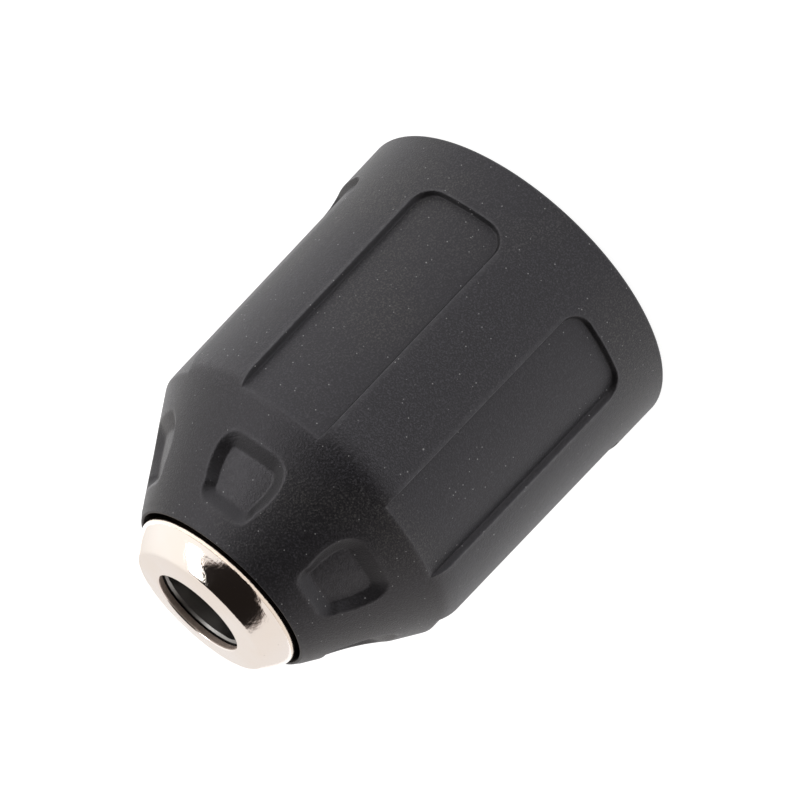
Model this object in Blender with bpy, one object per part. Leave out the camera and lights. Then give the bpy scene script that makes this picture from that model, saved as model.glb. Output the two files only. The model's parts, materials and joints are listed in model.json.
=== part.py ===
"""Keyless single-sleeve drill chuck, 0.8 to 10 mm, for a 3/8-24 spindle.

The chuck stands on its rear hub face with its nose up: the chuck axis is +Z and the
origin is the centre of the hub face. Lengths are metres. The jaws are drawn fully open.
"""

from math import atan2, ceil, cos, pi, radians, sin, tan

import bmesh
import bpy
from mathutils import Matrix, Vector

MM = 0.001

# ---- Sleeve, outside ----
OVERALL_LENGTH = 53.3 * MM
SLEEVE_REAR_Z = 0.4 * MM
SLEEVE_REAR_R = 21.0 * MM
SLEEVE_REAR_ROUND = 0.4 * MM
SHOULDER_Z = 35.75 * MM
SHOULDER_R = 19.92 * MM
SHOULDER_SOFT = 1.3 * MM
MOUTH_Z = 49.6 * MM
MOUTH_R = 11.3 * MM
MOUTH_BORE_R = 10.9 * MM
SLEEVE_SEGMENTS = 60

# ---- Sleeve, inside ----
SLEEVE_BORE_R = 17.5 * MM
COVER_RECESS_R = 18.6 * MM
COVER_RECESS_DEPTH = 3.8 * MM
SLEEVE_BORE_FRONT_Z = 37.4 * MM
MOUTH_BORE_DEPTH = 2.2 * MM

# ---- Grip recesses and cone pockets, six of each ----
GRIP_COUNT = 6
RECESS_REAR_Z = 6.75 * MM
RECESS_DEPTH = 0.7 * MM
RECESS_HALF_ANGLE = radians(16.2)
RECESS_CORNER = 2.6 * MM
RECESS_WALL = 0.25 * MM
RECESS_RUNOUT = 1.6 * MM
POCKET_REAR_Z = 40.3 * MM
POCKET_FRONT_Z = 47.2 * MM
POCKET_REAR_HALF_WIDTH = 4.45 * MM
POCKET_FRONT_HALF_WIDTH = 3.45 * MM
POCKET_CORNER = 1.7 * MM
POCKET_WALL = 1.25 * MM
POCKET_DEPTH = 0.95 * MM
CUTTER_COLUMNS = 6
RIM_LIFT = 0.03 * MM

# ---- Jaws and their passages ----
JAW_COUNT = 3
JAW_TURN = radians(30)
JAW_ANGLE = radians(16)
JAW_R = 3.1 * MM
JAW_CLEARANCE = 0.15 * MM
JAW_LINE_Z = 51.8 * MM
JAW_LINE_R = 1.975 * MM
JAW_TIP_Z = 39.9 * MM
JAW_LENGTH = 27.3 * MM
JAW_GRIP_OPEN_R = 5.15 * MM
JAW_WEDGE_RELIEF = 0.15 * MM
JAW_TIP_CUT = 1.92 * MM
JAW_HEEL_CUT = 0.9 * MM
JAW_STOCK = 2.0 * MM
JAW_SIDES = 20
PASSAGE_REAR = 55.0 * MM
PASSAGE_FRONT = 9.0 * MM
PASSAGE_START_Z = 47.9 * MM
TOOTH_PITCH = 1.6 * MM
TOOTH_DEPTH = 0.75 * MM
TOOTH_ROOT = 0.4 * MM
TOOTH_MOUTH = 1.2 * MM
TOOTH_RUN = 20.5 * MM
TOOTH_HEEL = 0.2 * MM
COMB_LAND = 0.2 * MM
COMB_BACK = 1.2 * MM
COMB_HALF_WIDTH = 4.0 * MM

# ---- Body ----
HUB_R = 8.5 * MM
HUB_TOP_Z = 12.0 * MM
FLANGE_R = 16.6 * MM
FLANGE_REAR_Z = 19.0 * MM
FLANGE_FRONT_Z = 23.0 * MM
BEARING_SEAT_R = 12.6 * MM
NUT_GROOVE_REAR_Z = 27.4 * MM
NUT_GROOVE_REAR_R = 11.2 * MM
NUT_GROOVE_FRONT_R = 9.6 * MM
FRONT_SHOULDER_Z = 33.7 * MM
FRONT_SHOULDER_R = 13.5 * MM
FRONT_CONE_Z = 38.0 * MM
NOSE_SEAT_Z = 44.6 * MM
NOSE_SEAT_R = 8.2 * MM
BODY_FRONT_Z = 52.2 * MM
TOOL_BORE_R = 5.25 * MM
TOOL_BORE_BOTTOM_Z = 24.0 * MM
SPINDLE_BORE_R = 4.35 * MM
SPINDLE_BORE_TOP_Z = 16.0 * MM
SCREW_HOLE_R = 3.1 * MM
BODY_SEGMENTS = 40

# ---- Nose ring ----
NOSE_SKIRT_R = 10.1 * MM
NOSE_LIP_R = 10.45 * MM
NOSE_LIP_REAR_Z = 49.15 * MM
NOSE_LIP_Z = OVERALL_LENGTH - 3.3 * MM
# The outside from the lip to the bore: arc length, lean from upright at its end in degrees, steps.
NOSE_ARCS = (
    (0.9 * MM, 30, 3),
    (2.48 * MM, 45, 3),
    (0.5 * MM, 84, 3),
    (2.56 * MM, 84, 1),
    (0.45 * MM, 183, 5),
)
NOSE_BORE_R = 5.62 * MM
NOSE_SEGMENTS = 48

# ---- Thrust bearing ----
RACE_INNER_R = 13.8 * MM
RACE_OUTER_R = 16.6 * MM
RACE_THICKNESS = 0.9 * MM
RACE_REAR_Z = 23.25 * MM
BALL_R = 0.9 * MM
BALL_PITCH_R = 15.2 * MM
BALL_COUNT = 15
BALL_GAP = 0.15 * MM
CAGE_THICKNESS = 0.8 * MM
CAGE_HOLE_R = 1.05 * MM

# ---- Nut and its band ----
NUT_REAR_Z = 27.7 * MM
NUT_FRONT_Z = 33.3 * MM
NUT_OUTER_R = 15.5 * MM
NUT_SPLIT_GAP = 0.3 * MM
NUT_RIDGE_HEIGHT = 0.65 * MM
NUT_RIDGE_TIP = 0.25 * MM
NUT_RIDGE_BASE = 0.95 * MM
NUT_COLUMNS = 24
BAND_INNER_R = 15.75 * MM
BAND_OUTER_R = 16.35 * MM
LUG_TOP_Z = 36.1 * MM
LUG_ANGLE = radians(21)

# ---- Sleeve liner, lock and rear closure ----
LINER_INNER_R = 16.85 * MM
LINER_OUTER_R = 17.25 * MM
LINER_REAR_Z = 5.0 * MM
LINER_FRONT_Z = 34.9 * MM
LINER_LIP_R = 14.3 * MM
LINER_LIP_THICKNESS = 0.8 * MM
WINDOW_INNER_R = 15.4 * MM
WINDOW_OUTER_R = 16.6 * MM
LOCK_TRAVEL = radians(16)
WINDOW_PLAY = radians(1)
LOCK_SPRING_INNER_R = 14.4 * MM
LOCK_SPRING_OUTER_R = 15.3 * MM
LOCK_SPRING_REAR_Z = 35.2 * MM
LOCK_SPRING_THICKNESS = 0.6 * MM
COVER_INNER_R = 8.8 * MM
COVER_OUTER_R = 18.2 * MM
COVER_REAR_Z = 2.2 * MM
COVER_THICKNESS = 0.8 * MM
CLIP_GROOVE_R = 8.0 * MM
CLIP_INNER_R = 8.3 * MM
CLIP_OUTER_R = 10.2 * MM
CLIP_REAR_Z = 1.2 * MM
CLIP_THICKNESS = 0.7 * MM


def clear_scene():
    for item in list(bpy.data.objects):
        bpy.data.objects.remove(item, do_unlink=True)


def make_material(name, color, roughness, metallic):
    made = bpy.data.materials.new(name)
    made.use_nodes = True
    shader = made.node_tree.nodes["Principled BSDF"]
    shader.inputs["Base Color"].default_value = (*color, 1.0)
    shader.inputs["Roughness"].default_value = roughness
    shader.inputs["Metallic"].default_value = metallic
    return made


def finish_mesh(bm, name, material, crease=radians(32)):
    """Turn a bmesh into a named, smooth-shaded object."""
    bmesh.ops.recalc_face_normals(bm, faces=bm.faces)
    mesh = bpy.data.meshes.new(name)
    bm.to_mesh(mesh)
    bm.free()
    mesh.shade_smooth()
    mesh.set_sharp_from_angle(angle=crease)
    made = bpy.data.objects.new(name, mesh)
    if material is not None:
        mesh.materials.append(material)
    bpy.context.scene.collection.objects.link(made)
    return made


def as_cutter(made):
    made.hide_render = True
    made.display_type = "WIRE"
    return made


def cut(target, cutter):
    """Remove the cutter's volume from the target."""
    step = target.modifiers.new(cutter.name, "BOOLEAN")
    step.operation = "DIFFERENCE"
    step.solver = "EXACT"
    step.object = cutter


def rounded_corner(center, radius, start, end, steps):
    """Points of an arc in the (radius, height) plane."""
    turns = [start + (end - start) * i / steps for i in range(steps + 1)]
    return [(center[0] + radius * cos(t), center[1] + radius * sin(t)) for t in turns]


def turned_mesh(profile, segments, start=0.0, sweep=2 * pi):
    """Spin a closed (radius, height) outline about Z; a part turn gets flat ends."""
    bm = bmesh.new()
    direction = Vector((cos(start), sin(start), 0.0))
    loop = [bm.verts.new(direction * r + Vector((0.0, 0.0, z))) for r, z in profile]
    edges = [bm.edges.new((a, b)) for a, b in zip(loop, loop[1:] + loop[:1])]
    whole = abs(sweep - 2 * pi) < 1e-9
    first_cap = None if whole else bm.faces.new(loop)
    spun = bmesh.ops.spin(
        bm,
        geom=edges,
        cent=(0.0, 0.0, 0.0),
        axis=(0.0, 0.0, 1.0),
        angle=sweep,
        steps=segments,
        use_merge=whole,
    )
    if first_cap is not None:
        last = [item for item in spun["geom_last"] if isinstance(item, bmesh.types.BMEdge)]
        bmesh.ops.contextual_create(bm, geom=last)
    return bm


def turned(name, profile, segments, material):
    return finish_mesh(turned_mesh(profile, segments), name, material)


def jaw_line_radius(z):
    """Distance of every jaw's centre line from the chuck axis at height z."""
    return JAW_LINE_R + (JAW_LINE_Z - z) * tan(JAW_ANGLE)


def jaw_azimuth(index):
    return JAW_TURN + index * 2 * pi / JAW_COUNT


def jaw_frame(azimuth, z):
    """Local +Z runs up the jaw to its tip, local +X points outwards."""
    spin = Matrix.Rotation(azimuth, 4, "Z")
    place = Matrix.Translation((jaw_line_radius(z), 0.0, z))
    lean = Matrix.Rotation(-JAW_ANGLE, 4, "Y")
    return spin @ place @ lean


def keep_below_plane(bm, point, normal):
    """Cut a solid with a plane, drop the side the normal points to and close it."""
    geometry = bm.verts[:] + bm.edges[:] + bm.faces[:]
    result = bmesh.ops.bisect_plane(
        bm, geom=geometry, plane_co=point, plane_no=normal, clear_outer=True, dist=1e-7
    )
    edges = [item for item in result["geom_cut"] if isinstance(item, bmesh.types.BMEdge)]
    if edges:
        bmesh.ops.contextual_create(bm, geom=edges)


def rod_mesh(radius, low, high, sides):
    """A straight rod along Z between two heights."""
    bm = bmesh.new()
    bmesh.ops.create_cone(
        bm,
        cap_ends=True,
        segments=sides,
        radius1=radius,
        radius2=radius,
        depth=high - low,
        matrix=Matrix.Translation((0.0, 0.0, (high + low) / 2)),
    )
    return bm


def make_body(material):
    profile = [
        (SPINDLE_BORE_R + 0.75 * MM, 0.0),
        (HUB_R - 0.3 * MM, 0.0),
        (HUB_R, 0.3 * MM),
        (HUB_R, CLIP_REAR_Z - 0.2 * MM),
        (CLIP_GROOVE_R, CLIP_REAR_Z - 0.2 * MM),
        (CLIP_GROOVE_R, COVER_REAR_Z - 0.1 * MM),
        (HUB_R, COVER_REAR_Z - 0.1 * MM),
        (HUB_R, HUB_TOP_Z),
        (FLANGE_R, FLANGE_REAR_Z),
        (FLANGE_R, FLANGE_FRONT_Z),
        (BEARING_SEAT_R, FLANGE_FRONT_Z),
        (BEARING_SEAT_R, NUT_GROOVE_REAR_Z),
        (NUT_GROOVE_REAR_R, NUT_GROOVE_REAR_Z),
        (NUT_GROOVE_FRONT_R, FRONT_SHOULDER_Z),
        (FRONT_SHOULDER_R, FRONT_SHOULDER_Z),
        (FRONT_SHOULDER_R, FRONT_CONE_Z),
        (NOSE_SEAT_R + 1.4 * MM, NOSE_SEAT_Z),
        (NOSE_SEAT_R, NOSE_SEAT_Z),
        (NOSE_SEAT_R, BODY_FRONT_Z - 0.3 * MM),
        (NOSE_SEAT_R - 0.3 * MM, BODY_FRONT_Z),
        (TOOL_BORE_R + 0.27 * MM, BODY_FRONT_Z),
        (TOOL_BORE_R, BODY_FRONT_Z - 0.27 * MM),
        (TOOL_BORE_R, TOOL_BORE_BOTTOM_Z),
        (SCREW_HOLE_R, TOOL_BORE_BOTTOM_Z - 1.5 * MM),
        (SCREW_HOLE_R, SPINDLE_BORE_TOP_Z + 0.8 * MM),
        (SPINDLE_BORE_R, SPINDLE_BORE_TOP_Z),
        (SPINDLE_BORE_R, 0.75 * MM),
    ]
    body = turned("chuck_body", profile, BODY_SEGMENTS, material)
    for index in range(JAW_COUNT):
        bm = rod_mesh(JAW_R + JAW_CLEARANCE, -PASSAGE_REAR, PASSAGE_FRONT, JAW_SIDES)
        bm.transform(jaw_frame(jaw_azimuth(index), PASSAGE_START_Z))
        name = f"jaw_passage_cutter_{index + 1}"
        cut(body, as_cutter(finish_mesh(bm, name, None)))
    return body


def leaning_outline(start, arcs):
    """Points of an outline that sets off upright and leans inwards, arc by arc."""
    r, z = start
    lean = 0.0
    points = [start]
    for length, end, steps in arcs:
        bend = radians(end) - lean
        half = abs(bend) / steps / 2
        chord = length / steps * (sin(half) / half if half else 1.0)
        for i in range(steps):
            heading = lean + bend * (i + 0.5) / steps
            r -= chord * sin(heading)
            z += chord * cos(heading)
            points.append((r, z))
        lean += bend
    return points


def make_nose_ring(material):
    seat_r = NOSE_SEAT_R + 0.25 * MM
    web_z = BODY_FRONT_Z + 0.2 * MM
    profile = [
        (seat_r, NOSE_SEAT_Z + 0.6 * MM),
        (NOSE_SKIRT_R, NOSE_SEAT_Z + 0.6 * MM),
        (NOSE_SKIRT_R, NOSE_LIP_REAR_Z),
        (NOSE_LIP_R, NOSE_LIP_REAR_Z),
        *leaning_outline((NOSE_LIP_R, NOSE_LIP_Z), NOSE_ARCS),
        (NOSE_BORE_R, web_z),
        (seat_r, web_z),
    ]
    return turned("nose_ring", profile, NOSE_SEGMENTS, material)


def jaw_mesh(index):
    """A round jaw with a three-way gripping wedge in front and rack teeth outside."""
    bm = rod_mesh(JAW_R, -JAW_LENGTH, JAW_STOCK, JAW_SIDES)
    axis_up = Vector((sin(JAW_ANGLE), 0.0, cos(JAW_ANGLE)))
    outward = Vector((cos(JAW_ANGLE), 0.0, -sin(JAW_ANGLE)))
    sideways = Vector((0.0, 1.0, 0.0))
    to_axis = jaw_line_radius(JAW_TIP_Z)
    grip = outward * (JAW_GRIP_OPEN_R - to_axis)
    wedge = outward * (JAW_GRIP_OPEN_R - JAW_WEDGE_RELIEF - to_axis)
    keep_below_plane(bm, Vector(), axis_up)
    keep_below_plane(bm, outward * JAW_TIP_CUT, outward * 0.8 + axis_up * 0.6)
    keep_below_plane(bm, wedge, sideways * 0.5 - outward * sin(radians(60)))
    keep_below_plane(bm, wedge, -sideways * 0.5 - outward * sin(radians(60)))
    keep_below_plane(bm, grip, -outward)
    keep_below_plane(bm, Vector((JAW_R - JAW_HEEL_CUT, 0.0, -JAW_LENGTH)), Vector((0.6, 0.0, -0.8)))
    return bm


def tooth_comb(index, name):
    """One outline that dips into every tooth gap of a jaw, in the jaw's own frame."""
    lead_shift = TOOTH_PITCH * jaw_azimuth(index) / (2 * pi)
    tip_to_reference = (JAW_TIP_Z - NUT_REAR_Z) / cos(JAW_ANGLE)
    first = -tip_to_reference + lead_shift
    top = JAW_R + COMB_BACK
    land = JAW_R + COMB_LAND
    root = JAW_R - TOOTH_DEPTH
    slope = (TOOTH_MOUTH - TOOTH_ROOT) / 2 / TOOTH_DEPTH
    mouth = TOOTH_ROOT / 2 + slope * (land - root)
    lowest = ceil((-JAW_LENGTH + TOOTH_HEEL - first) / TOOTH_PITCH)
    highest = ceil((-JAW_LENGTH + TOOTH_RUN - first) / TOOTH_PITCH)
    centers = [first + count * TOOTH_PITCH for count in range(lowest, highest)]
    outline = [(top, centers[0] - mouth)]
    for place in centers:
        outline += [
            (land, place - mouth),
            (root, place - TOOTH_ROOT / 2),
            (root, place + TOOTH_ROOT / 2),
            (land, place + mouth),
        ]
    outline.append((top, centers[-1] + mouth))
    bm = bmesh.new()
    face = bm.faces.new([bm.verts.new((x, -COMB_HALF_WIDTH, z)) for x, z in outline])
    moved = bmesh.ops.extrude_face_region(bm, geom=[face])
    verts = [item for item in moved["geom"] if isinstance(item, bmesh.types.BMVert)]
    bmesh.ops.translate(bm, verts=verts, vec=(0.0, 2 * COMB_HALF_WIDTH, 0.0))
    return finish_mesh(bm, name, None)


def make_jaws(material):
    for index in range(JAW_COUNT):
        frame = jaw_frame(jaw_azimuth(index), JAW_TIP_Z)
        jaw = finish_mesh(jaw_mesh(index), f"jaw_{index + 1}", material)
        comb = as_cutter(tooth_comb(index, f"jaw_tooth_cutter_{index + 1}"))
        jaw.matrix_world = frame
        comb.matrix_world = frame
        cut(jaw, comb)


def nut_half_mesh(start):
    """Half a ring with the conical jaw thread inside, cut flat at both ends."""
    spare = 3
    first_row = -spare * TOOTH_PITCH
    thread_length = (NUT_FRONT_Z - NUT_REAR_Z) / cos(JAW_ANGLE)
    pitches = ceil(thread_length / TOOTH_PITCH) + spare + 2
    rows = []
    for count in range(pitches):
        center = first_row + count * TOOTH_PITCH
        rows.append((center - NUT_RIDGE_BASE / 2, 0.0))
        rows.append((center - NUT_RIDGE_TIP / 2, NUT_RIDGE_HEIGHT))
        rows.append((center + NUT_RIDGE_TIP / 2, NUT_RIDGE_HEIGHT))
        rows.append((center + NUT_RIDGE_BASE / 2, 0.0))
    inset = NUT_SPLIT_GAP / 2 / NUT_OUTER_R
    sweep = pi - 2 * inset
    bm = bmesh.new()
    columns = []
    for step in range(NUT_COLUMNS + 1):
        azimuth = start + inset + sweep * step / NUT_COLUMNS
        shift = TOOTH_PITCH * azimuth / (2 * pi)
        column = []
        for place, height in rows:
            along = place + shift
            reach = JAW_R + JAW_CLEARANCE - height
            r = jaw_line_radius(NUT_REAR_Z) - along * sin(JAW_ANGLE) + reach * cos(JAW_ANGLE)
            z = NUT_REAR_Z + along * cos(JAW_ANGLE) + reach * sin(JAW_ANGLE)
            column.append((r, z))
        column.append((NUT_OUTER_R, column[-1][1]))
        column.append((NUT_OUTER_R, column[0][1]))
        turn = Vector((cos(azimuth), sin(azimuth), 0.0))
        columns.append([bm.verts.new(turn * r + Vector((0.0, 0.0, z))) for r, z in column])
    for left, right in zip(columns, columns[1:]):
        size = len(left)
        for i in range(size):
            j = (i + 1) % size
            bm.faces.new((left[i], left[j], right[j], right[i]))
    bm.faces.new(columns[0])
    bm.faces.new(columns[-1])
    keep_below_plane(bm, Vector((0.0, 0.0, NUT_REAR_Z)), Vector((0.0, 0.0, -1.0)))
    keep_below_plane(bm, Vector((0.0, 0.0, NUT_FRONT_Z)), Vector((0.0, 0.0, 1.0)))
    return bm


def ring_profile(inner, outer, low, high):
    return [(inner, low), (outer, low), (outer, high), (inner, high)]


def make_nut(steel, band_steel):
    for index, name in enumerate(("nut_half_a", "nut_half_b")):
        finish_mesh(nut_half_mesh(index * pi), name, steel)
    profile = ring_profile(BAND_INNER_R, BAND_OUTER_R, NUT_REAR_Z, LUG_TOP_Z)
    band = turned("nut_band", profile, BODY_SEGMENTS * 3 // 2, band_steel)
    gap_angle = 2 * pi / JAW_COUNT - LUG_ANGLE
    for index in range(JAW_COUNT):
        start = LUG_ANGLE / 2 + index * 2 * pi / JAW_COUNT
        gap = ring_profile(BAND_INNER_R - MM, BAND_OUTER_R + MM, NUT_FRONT_Z, LUG_TOP_Z + MM)
        bm = turned_mesh(gap, 20, start, gap_angle)
        cut(band, as_cutter(finish_mesh(bm, f"band_gap_cutter_{index + 1}", None)))


def make_bearing(race_steel, cage_brass):
    rear_top = RACE_REAR_Z + RACE_THICKNESS
    ball_z = rear_top + BALL_GAP + BALL_R
    front_low = ball_z + BALL_R + BALL_GAP
    front_top = NUT_REAR_Z - 0.25 * MM
    rear = ring_profile(RACE_INNER_R, RACE_OUTER_R, RACE_REAR_Z, rear_top)
    turned("rear_race", rear, BODY_SEGMENTS, race_steel)
    front = ring_profile(RACE_INNER_R, RACE_OUTER_R - 0.2 * MM, front_low, front_top)
    turned("front_race", front, BODY_SEGMENTS, race_steel)
    low = ball_z - CAGE_THICKNESS / 2
    cage_profile = ring_profile(RACE_INNER_R, RACE_OUTER_R - 0.1 * MM, low, low + CAGE_THICKNESS)
    cage = turned("ball_cage", cage_profile, BALL_COUNT * 4, cage_brass)
    holes = bmesh.new()
    for index in range(BALL_COUNT):
        turn = Matrix.Rotation(2 * pi * (index + 0.5) / BALL_COUNT, 4, "Z")
        place = turn @ Matrix.Translation((BALL_PITCH_R, 0.0, ball_z))
        bmesh.ops.create_cone(
            holes, cap_ends=True, segments=8, radius1=CAGE_HOLE_R, radius2=CAGE_HOLE_R,
            depth=3 * CAGE_THICKNESS, matrix=place,
        )
        ball = bmesh.new()
        bmesh.ops.create_uvsphere(ball, u_segments=10, v_segments=6, radius=BALL_R)
        made = finish_mesh(ball, f"ball_{index + 1:02d}", race_steel, radians(60))
        made.matrix_world = place
    cut(cage, as_cutter(finish_mesh(holes, "cage_hole_cutter", None)))


def sleeve_radius(z):
    """Outside radius of the plain sleeve at height z."""
    if z <= SHOULDER_Z:
        share = (z - SLEEVE_REAR_Z) / (SHOULDER_Z - SLEEVE_REAR_Z)
        return SLEEVE_REAR_R + (SHOULDER_R - SLEEVE_REAR_R) * share
    share = (z - SHOULDER_Z) / (MOUTH_Z - SHOULDER_Z)
    return SHOULDER_R + (MOUTH_R - SHOULDER_R) * share


def corner_steps(center, radius, start, steps):
    """Quarter arc of a half outline as (half width, height) points."""
    return rounded_corner(center, radius, start, start + pi / 2, steps)


def recess_half_outline(inset):
    """Right half of the recess rim; its front end runs out past the shoulder."""
    half = RECESS_HALF_ANGLE * SLEEVE_REAR_R - inset
    low = RECESS_REAR_Z + inset
    high = SHOULDER_Z + RECESS_RUNOUT + MM
    corner = RECESS_CORNER - inset
    points = corner_steps((half - corner, low + corner), corner, -pi / 2, 4)
    return points + [(half, 0.5 * (low + high)), (half, high)]


def recess_spot(width, z, height):
    """A point over the body's taper, which runs on straight past the shoulder."""
    slope = (SLEEVE_REAR_R - SHOULDER_R) / (SHOULDER_Z - SLEEVE_REAR_Z)
    r = SLEEVE_REAR_R - (z - SLEEVE_REAR_Z) * slope + height
    azimuth = width / SLEEVE_REAR_R
    return Vector((r * cos(azimuth), r * sin(azimuth), z))


def pocket_half_outline(inset):
    """Right half of the pocket rim: straight ends, and sides that narrow forwards."""
    low = POCKET_REAR_Z + inset * 0.85
    high = POCKET_FRONT_Z - inset * 0.85
    rear = POCKET_REAR_HALF_WIDTH - inset
    front = POCKET_FRONT_HALF_WIDTH - inset
    corner = POCKET_CORNER - inset * 0.6
    points = corner_steps((rear - corner, low + corner), corner, -pi / 2, 3)
    return points + corner_steps((front - corner, high - corner), corner, 0.0, 3)


def pocket_spot(width, z, height):
    """A point over the cone, lifted square to its surface."""
    lean = atan2(SHOULDER_R - MOUTH_R, MOUTH_Z - SHOULDER_Z)
    r = sleeve_radius(z)
    azimuth = width / r
    around = Vector((cos(azimuth), sin(azimuth), 0.0))
    return around * (r + height * cos(lean)) + Vector((0.0, 0.0, z + height * sin(lean)))


def lofted_cutter(half_outline, spot, levels):
    """A closed block through stacked outlines, each bent to follow the sleeve."""
    bm = bmesh.new()
    layers = []
    for inset, height in levels:
        rows = []
        for half, z in half_outline(inset):
            shares = [2 * i / CUTTER_COLUMNS - 1 for i in range(CUTTER_COLUMNS + 1)]
            rows.append([bm.verts.new(spot(half * share, z, height)) for share in shares])
        layers.append(rows)
    for rows in (layers[0], layers[-1]):
        for near, far in zip(rows, rows[1:]):
            for i in range(CUTTER_COLUMNS):
                bm.faces.new((near[i], near[i + 1], far[i + 1], far[i]))
    for lower, upper in zip(layers, layers[1:]):
        left = [row[0] for row in lower], [row[0] for row in upper]
        right = [row[-1] for row in lower], [row[-1] for row in upper]
        for first, second in (left, right, (lower[0], upper[0]), (lower[-1], upper[-1])):
            for i in range(len(first) - 1):
                bm.faces.new((first[i], first[i + 1], second[i + 1], second[i]))
    return bm


def recess_cutter():
    """A shallow tray with steep walls, open at the shoulder."""
    levels = [(0.0, 1.0 * MM), (0.0, RIM_LIFT), (RECESS_WALL, -RECESS_DEPTH)]
    return lofted_cutter(recess_half_outline, recess_spot, levels)


def pocket_cutter():
    """A dimple with wide sloping walls and a smaller floor."""
    levels = [(-0.5 * MM, 0.7 * MM), (0.0, RIM_LIFT), (POCKET_WALL, -POCKET_DEPTH)]
    return lofted_cutter(pocket_half_outline, pocket_spot, levels)


def make_sleeve(plastic):
    taper = atan2(SLEEVE_REAR_R - SHOULDER_R, SHOULDER_Z - SLEEVE_REAR_Z)
    cone = atan2(SHOULDER_R - MOUTH_R, MOUTH_Z - SHOULDER_Z)
    turn_r = SLEEVE_REAR_R - SLEEVE_REAR_ROUND
    rear_round = rounded_corner(
        (turn_r, SLEEVE_REAR_Z + SLEEVE_REAR_ROUND), SLEEVE_REAR_ROUND, -pi / 2, taper, 4
    )
    below = (SHOULDER_R + SHOULDER_SOFT * sin(taper), SHOULDER_Z - SHOULDER_SOFT * cos(taper))
    above = (SHOULDER_R - SHOULDER_SOFT * sin(cone), SHOULDER_Z + SHOULDER_SOFT * cos(cone))
    crown = (
        (below[0] + above[0] + 2 * SHOULDER_R) / 4,
        (below[1] + above[1] + 2 * SHOULDER_Z) / 4,
    )
    inner_cone_r = MOUTH_BORE_R + 0.05 * MM
    profile = [
        (COVER_RECESS_R, SLEEVE_REAR_Z),
        *rear_round,
        below,
        crown,
        above,
        (MOUTH_R, MOUTH_Z - 0.1 * MM),
        (MOUTH_R - 0.15 * MM, MOUTH_Z),
        (MOUTH_BORE_R, MOUTH_Z),
        (inner_cone_r, MOUTH_Z - MOUTH_BORE_DEPTH),
        (SLEEVE_BORE_R - 0.6 * MM, SLEEVE_BORE_FRONT_Z),
        (SLEEVE_BORE_R, SLEEVE_BORE_FRONT_Z - 1.2 * MM),
        (SLEEVE_BORE_R, SLEEVE_REAR_Z + COVER_RECESS_DEPTH),
        (COVER_RECESS_R, SLEEVE_REAR_Z + COVER_RECESS_DEPTH),
    ]
    sleeve = turned("outer_sleeve", profile, SLEEVE_SEGMENTS, plastic)
    for kind, shape in (("recess", recess_cutter), ("pocket", pocket_cutter)):
        for index in range(GRIP_COUNT):
            bm = shape()
            bm.transform(Matrix.Rotation(index * 2 * pi / GRIP_COUNT, 4, "Z"))
            cut(sleeve, as_cutter(finish_mesh(bm, f"{kind}_cutter_{index + 1}", None)))


def make_liner(steel, spring_steel):
    lip_z = LINER_FRONT_Z - LINER_LIP_THICKNESS
    profile = [
        (LINER_INNER_R, LINER_REAR_Z),
        (LINER_OUTER_R, LINER_REAR_Z),
        (LINER_OUTER_R, LINER_FRONT_Z),
        (LINER_LIP_R, LINER_FRONT_Z),
        (LINER_LIP_R, lip_z),
        (LINER_INNER_R, lip_z),
    ]
    liner = turned("sleeve_liner", profile, BODY_SEGMENTS, steel)
    window_angle = LUG_ANGLE + LOCK_TRAVEL + 2 * WINDOW_PLAY
    for index in range(JAW_COUNT):
        start = index * 2 * pi / JAW_COUNT - LUG_ANGLE / 2 - WINDOW_PLAY
        window = ring_profile(WINDOW_INNER_R, WINDOW_OUTER_R, lip_z - MM, LINER_FRONT_Z + MM)
        bm = turned_mesh(window, 8, start, window_angle)
        cut(liner, as_cutter(finish_mesh(bm, f"window_cutter_{index + 1}", None)))
    spring = ring_profile(
        LOCK_SPRING_INNER_R,
        LOCK_SPRING_OUTER_R,
        LOCK_SPRING_REAR_Z,
        LOCK_SPRING_REAR_Z + LOCK_SPRING_THICKNESS,
    )
    bm = turned_mesh(spring, 36, radians(20), radians(320))
    finish_mesh(bm, "lock_spring", spring_steel)


def make_rear_closure(plated, spring_steel):
    top = COVER_REAR_Z + COVER_THICKNESS
    cover = ring_profile(COVER_INNER_R, COVER_OUTER_R, COVER_REAR_Z, top)
    turned("rear_cover", cover, NOSE_SEGMENTS, plated)
    clip = ring_profile(CLIP_INNER_R, CLIP_OUTER_R, CLIP_REAR_Z, CLIP_REAR_Z + CLIP_THICKNESS)
    bm = turned_mesh(clip, 32, radians(112), radians(316))
    finish_mesh(bm, "cover_clip", spring_steel)


def main():
    clear_scene()
    steel = make_material("body_steel", (0.36, 0.36, 0.37), 0.38, 1.0)
    jaw_steel = make_material("jaw_steel", (0.42, 0.42, 0.43), 0.34, 1.0)
    nickel = make_material("nose_nickel", (0.86, 0.82, 0.78), 0.12, 1.0)
    bearing_steel = make_material("bearing_steel", (0.62, 0.62, 0.63), 0.18, 1.0)
    brass = make_material("cage_brass", (0.66, 0.50, 0.24), 0.35, 1.0)
    band_steel = make_material("band_steel", (0.50, 0.50, 0.51), 0.40, 1.0)
    spring_steel = make_material("spring_steel", (0.22, 0.22, 0.24), 0.35, 1.0)
    plastic = make_material("sleeve_plastic", (0.040, 0.041, 0.045), 0.55, 0.0)
    plated = make_material("cover_plate", (0.55, 0.55, 0.54), 0.35, 1.0)
    make_body(steel)
    make_nose_ring(nickel)
    make_jaws(jaw_steel)
    make_nut(steel, band_steel)
    make_bearing(bearing_steel, brass)
    make_sleeve(plastic)
    make_liner(band_steel, spring_steel)
    make_rear_closure(plated, spring_steel)


main()
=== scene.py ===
"""Looks of the keyless drill chuck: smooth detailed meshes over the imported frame.

The chuck stands nose up on a pale floor, its axis is +Z. Lengths are metres, and the
small ones are written as so many MM.
"""

import json
from math import atan2, ceil, cos, pi, radians, sin, tan

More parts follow.
